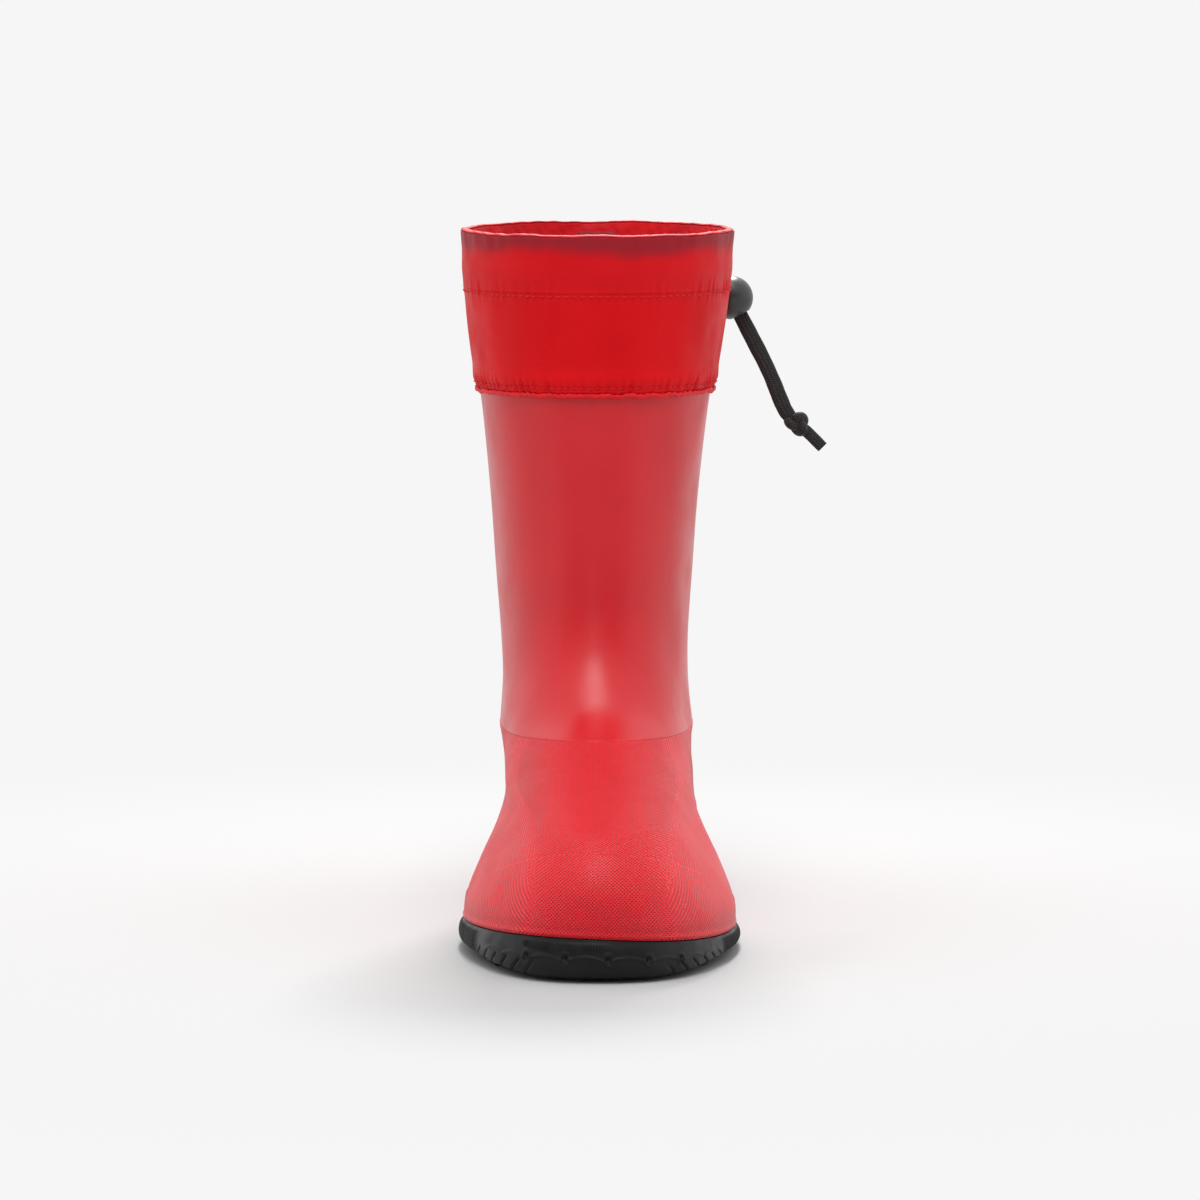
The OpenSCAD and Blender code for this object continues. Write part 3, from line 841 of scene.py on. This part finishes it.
a_rim = round_angles(900)
rim_middle, rim_half = (OUTER + FACING_IN + 1.7) / 2, (OUTER - FACING_IN - 1.7) / 2
rim_shape = edge_roll("rim_fold", S_RIM + 0.02, a_rim, rim_middle, rim_half + 0.1, 0.5, rim_drop(a_rim),
                      puckers(a_rim, 61, 30, 90))
rim_edge = piece("rim_fold", rim_shape, rim_red_painted_highlight, "boot", "edge_tape", "rim_binding")
hem_shape = edge_roll("hem_fold", S_HEM + 0.03, a_rim, OUTER + 0.2, 0.5, 0.85, hem_drop(a_rim) - 1.0,
                      puckers(a_rim, 62))
hem_edge = piece("hem_fold", hem_shape, hem_red, "boot", "edge_tape", "hem_binding")


def tape():
    """Tape over the seam at the back of the collar's inner layer, thin at its edges."""
    s, a = np.meshgrid(np.linspace(*S_TAPE, 70), np.linspace(172, 188, 30), indexing="ij")
    side = np.minimum(a - 172, 188 - a) / 8
    ends = np.minimum(s - S_TAPE[0], S_TAPE[1] - s)
    depth = 0.06 + 0.42 * ease(side / 0.15) * ease(ends / 0.15)
    base = facing_inside(s, a) - 0.04
    return patch_mesh("seam_tape", skin(s, a, base), skin(s, a, base - depth))


seam_tape = piece("seam_tape", tape(), tape_red, "boot", "edge_tape", "collar_seam_tape")


def stitches(s_at, outside):
    """Stitches all round, each a thread that dips into the cloth at both ends."""
    count = int(GIRTH / STITCH)
    dense = np.linspace(0, 360, 2881)
    length = np.concatenate([[0], np.cumsum(np.linalg.norm(np.diff(outer(s_at, dense), axis=0), axis=1))])
    points, faces = [], []
    step = length[-1] / count
    for i in range(count):
        at = np.linspace(i * step, i * step + 0.68 * step, 7)
        a = np.interp(at, length, dense)
        arch = np.sin(np.linspace(0, np.pi, 7))
        line = skin(np.full(7, s_at), a, outside(np.full(7, s_at), a) - 0.1 + 0.38 * arch)
        size = 0.46 + 0.12 * arch
        rings = tube(line, size, size, 6, np.array([0.0, 0.0, 1.0]), 1.0)
        start = 42 * i
        points.append(rings.reshape(-1, 3))
        faces += (quads(7, 6, False, True) + start).tolist()
        faces += [[start + k for k in range(5, -1, -1)], [start + 36 + k for k in range(6)]]
    return np.concatenate(points), faces


hem_seam = piece("hem_stitches", mesh("hem_stitches", *stitches(S_STITCH, band_outside)),
                 red_thread, "boot", "thread", "hem_stitching")
tunnel_seam = piece("tunnel_stitches", mesh("tunnel_stitches", *stitches(S_TUNNEL - 0.06, band_outside)),
                    red_thread, "boot", "thread", "tunnel_stitching")


# ---- sole ----

SOLE_PROFILE = np.array([[-2, 0], [BULGE * 0.6, 0.12], [BULGE, 0.4], [BULGE * 0.8, 0.75], [0.4, 1]])
TOE_STUDS = (-27, -12, 3, 17, 31)       # where the small round dimples of the toe are, from its middle


def sole_relief(along, up):
    """Mould detail of the sole's side wall. along is the distance from the toe's middle."""
    height = up * 11
    far = np.abs(along)
    side = ease((far - 62) / 10)
    slant = along + np.sign(along) * height * 0.55
    ribs = 0.5 + 0.5 * np.sin(2 * np.pi * slant / RIB)
    rib_band = ease((up - 0.12) / 0.1) * ease((0.93 - up) / 0.08)
    relief = 0.5 * side * rib_band * ribs
    patch = ease((19 - np.abs(along + 13)) / 5) * ease((up - 0.57 - 0.011 * np.abs(along + 13)) / 0.05)
    patch = patch * ease((0.93 - up) / 0.05)
    relief = relief + 0.55 * patch * (0.3 + 0.7 * np.sin(2 * np.pi * along / 0.95))
    for stud in TOE_STUDS:
        off = np.hypot(along - stud, height - 5.6)
        relief = relief - 1.0 * hump(off, 0.8) + 0.35 * hump(off - 1.6, 0.45)
    front = ease((58 - far) / 8)
    swag = 5.0 + 1.3 * np.abs(np.sin(np.pi * (along + 27) / 14.6))
    relief = relief + 0.5 * front * hump(height - swag, 0.35) * ease((np.abs(along - 2) - 1) / 2 + 1)
    low = (along + np.sign(along) * height * 1.4) / 7.5
    cut = hump((low - np.round(low)) * 7.5, 0.55)
    return relief - 1.0 * cut * ease((far - 22) / 8) * ease((74 - far) / 8) * ease((0.5 - up) / 0.12)


def sole_walls():
    dense = np.linspace(-180, 180, 7201)
    steps = np.linalg.norm(np.diff(outer(0.0, dense), axis=0), axis=1)
    length = np.concatenate([[0], np.cumsum(steps)])
    length -= length[-1] / 2
    count = 1950
    along = length[0] + (length[-1] - length[0]) * np.arange(count) / count
    a = np.interp(along, length, dense)
    t = np.concatenate([np.linspace(0, 0.4, 8)[:-1], np.linspace(0.4, 4, 40)])
    profile = spline(SOLE_PROFILE, t)
    rings = []
    for out, up in profile:
        relief = sole_relief(along, np.full(count, up))
        p = sole_edge(a, out + relief * ease(up / 0.1))
        low = mix(TREAD + spring_z(p[:, 1]), 1.2, ease((-p[:, 1] - 92) / 38))
        p[:, 2] = mix(low, p[:, 2], up)
        rings.append(p)
    rings.append(sole_edge(a, np.full(count, -WALL_IN)))
    floor = sole_edge(a, np.full(count, -WALL_IN - 0.2))
    floor[:, 2] = FLOOR_Z + spring_z(floor[:, 1])
    rings.append(floor)
    return np.roll(np.array(rings), count // 2, axis=1)


def lug(x, y, w, l, turn):
    """Tread lug: a rounded bar, cut to the sole's outline, with chamfered edges."""
    t = 2 * np.pi * np.arange(48) / 48
    c, s = math.cos(math.radians(turn)), math.sin(math.radians(turn))
    outline = sole_edge(np.linspace(0, 360, 361), np.full(361, -4.0))
    right, left = outline[:181], outline[180:]
    rings = []
    for z, inset in ((TREAD + 0.6, 0), (1.0, 0), (0.35, 0.2), (0.0, 0.75)):
        px = power(np.cos(t), 0.3) * (w / 2 - inset)
        py = power(np.sin(t), 0.3) * (l / 2 - inset)
        gx, gy = x + px * c - py * s, y + px * s + py * c
        gy = np.clip(gy, outline[:, 1].min() + 2 + inset, outline[:, 1].max() - 2 - inset)
        high = np.interp(gy, right[:, 1], right[:, 0]) - inset
        low = np.interp(gy, left[::-1, 1], left[::-1, 0]) + inset
        rings.append(np.stack([np.clip(gx, low, high), gy, np.full(48, z)], -1))
    faces = (quads(4, 48, False, True)[:, ::-1]).tolist()
    faces += [list(range(48)), list(range(191, 143, -1))]
    return np.concatenate(rings), faces


lugs = [lug(side * 24, -98 + 15 * i, 44, 8, side * 18) for i in range(6) for side in (-1, 1)]
lugs += [lug(side * 19, 72 + 15 * i, 34, 8, side * 12) for i in range(4) for side in (-1, 1)]
sole = piece("sole", stack_mesh("sole", sole_walls(), lugs), black_rubber, "boot", "rubber_sole", "outsole")


# ---- footbed ----

def inlay(name, out, low, high, crown, columns=300):
    """Flat layer inside the boot with rounded edges, cut to the shape of the last."""
    a = 360 * np.arange(columns) / columns
    edge = min(1.2, (high - low) / 2)
    steps = np.linspace(0, np.pi / 2, 6)
    levels = [(out - edge * (1 - math.sin(t)), low + edge * (1 - math.cos(t))) for t in steps]
    levels += [(out - edge * (1 - math.cos(t)), high - edge * (1 - math.sin(t))) for t in steps]
    rings = []
    for offset, z in levels:
        p = sole_edge(a, np.full(columns, offset))
        p[:, 2] += z
        rings.append(p)
    for k in range(1, 8):
        p = sole_edge(a, np.full(columns, levels[-1][0]))
        middle = p.copy()
        middle[:, 0] = 0.5 * (p[:, 0] + np.roll(p[::-1, 0], 1))
        p = mix(p, middle, 0.12 * k)
        p[:, 2] += high + crown * ease(k / 7)
        rings.append(p)
    return stack_mesh(name, np.array(rings))


REST = 1.6 + GAP + 0.35
footbed_foam = foam("footbed_foam", rgb(58, 58, 62), rgb(74, 74, 78), 900.0, 0.1)
footbed_top = knit("footbed_top", rgb(150, 30, 38), rgb(96, 14, 22), 1.2)
foam_piece = piece("footbed_pad", inlay("footbed_pad", -6.0, REST, REST + 5.0, 0), footbed_foam, "footbed",
                   "footbed_foam", "footbed")

cad_looks = {
    "footbed_cover": footbed_top,
    "sole_filler": foam("filler_foam", rgb(196, 180, 150), rgb(176, 158, 126), 700.0, 0.1),
    "insole_board": foam("board", rgb(186, 164, 128), rgb(166, 142, 106), 1500.0, 0.05),
    "drawcord_loop": plastic("cord_inside", rgb(24, 24, 25), rgb(38, 38, 39), 0.6),
    "eyelet": metal("eyelet_metal", rgb(60, 60, 62), rgb(36, 36, 38), 0.35),
    "lock_body": black_plastic,
    "lock_button": button_plastic,
    "lock_spring": metal("spring_wire", rgb(190, 190, 192), rgb(150, 150, 152), 0.25),
}
for node, look in cad_looks.items():
    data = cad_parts[node].data
    data.materials.clear()
    data.materials.append(look)


# ---- floor, light and world ----

BACKDROP = 0.922        # brightness of the room behind the boot
FRONT = 0.4
CARDS = 1.1
OVERHEAD = 1.2
FLOOR_SHADE = 0.44      # makes the lit floor as bright as the backdrop
FLOOR_HALF = 30.0       # metres


def floor_piece():
    """Pale floor: lit near the boot, and further out as bright as the backdrop by itself."""
    n = 40
    side = power(np.linspace(-1, 1, n), 3) * FLOOR_HALF
    x, y = np.meshgrid(side, side)
    points = np.stack([x, y, 0 * x], -1).reshape(-1, 3) / MM
    made = mesh("floor", points, quads(n, n, False, False))
    look = Look("pale_floor", 0.9, 0.0)
    cloud = look.noise(look.place(), 1.2, 2.0)
    lit = look.blend(cloud, [FLOOR_SHADE] * 3 + [1], [FLOOR_SHADE + 0.004] * 3 + [1])
    far = look.between(look.add("VectorMath", {0: look.place()}, out="Value", operation="LENGTH"), 0.17, 0.55)
    look.colour(look.blend(far, lit, [0, 0, 0, 1]))
    look.put(look.shader.inputs["Emission Color"], [1, 1, 1, 1])
    look.put(look.shader.inputs["Emission Strength"], look.maths("MULTIPLY", far, BACKDROP))
    look.bump((look.noise(look.place(), 400.0, 2.0), 0.01))
    made.materials.append(look.material)
    o = bpy.data.objects.new("floor", made)
    scene.collection.objects.link(o)


def area_light(name, place, target, size, watts):
    light = bpy.data.lights.new(name, "AREA")
    light.shape = "RECTANGLE"
    light.size, light.size_y = size
    light.energy = watts
    o = bpy.data.objects.new(name, light)
    scene.collection.objects.link(o)
    o.location = place
    o.rotation_mode = "QUATERNION"
    o.rotation_quaternion = (Vector(target) - Vector(place)).to_track_quat("-Z", "Y")


floor_piece()
area_light("rear_key", (0.12, 1.7, 2.0), (0, 0, 0.05), (0.55, 0.55), 66)
area_light("front_box", (-0.02, -0.45, 1.45), (0, 0, 0.09), (0.26, 1.2), 10)
area_light("front_strip", (-0.12, -1.9, 0.95), (0, 0, 0.15), (0.12, 0.7), 1.0)


def studio():
    """White room: bright overhead, white cards at both sides and a darker front."""
    world = bpy.data.worlds.new("studio")
    world.use_nodes = True
    nodes, links = world.node_tree.nodes, world.node_tree.links
    place = nodes.new("ShaderNodeTexCoord")
    axes = nodes.new("ShaderNodeSeparateXYZ")
    links.new(place.outputs["Generated"], axes.inputs[0])
    sideways = nodes.new("ShaderNodeMath")
    sideways.operation = "ABSOLUTE"
    links.new(axes.outputs["X"], sideways.inputs[0])
    level = BACKDROP
    regions = [(axes.outputs["Y"], -0.05, -0.6, FRONT),
               (sideways.outputs[0], 0.6, 0.95, CARDS),
               (axes.outputs["Z"], 0.3, 0.85, OVERHEAD)]
    for socket, low, high, bright in regions:
        share = nodes.new("ShaderNodeMapRange")
        share.interpolation_type = "SMOOTHSTEP"
        share.inputs["From Min"].default_value = low
        share.inputs["From Max"].default_value = high
        links.new(socket, share.inputs["Value"])
        step = nodes.new("ShaderNodeMix")
        links.new(share.outputs[0], step.inputs[0])
        if isinstance(level, float):
            step.inputs[2].default_value = level
        else:
            links.new(level, step.inputs[2])
        step.inputs[3].default_value = bright
        level = step.outputs[0]
    links.new(level, nodes["Background"].inputs["Strength"])
    nodes["Background"].inputs["Color"].default_value = (1, 1, 1, 1)
    return world


scene.world = studio()
scene.view_settings.view_transform = "Standard"
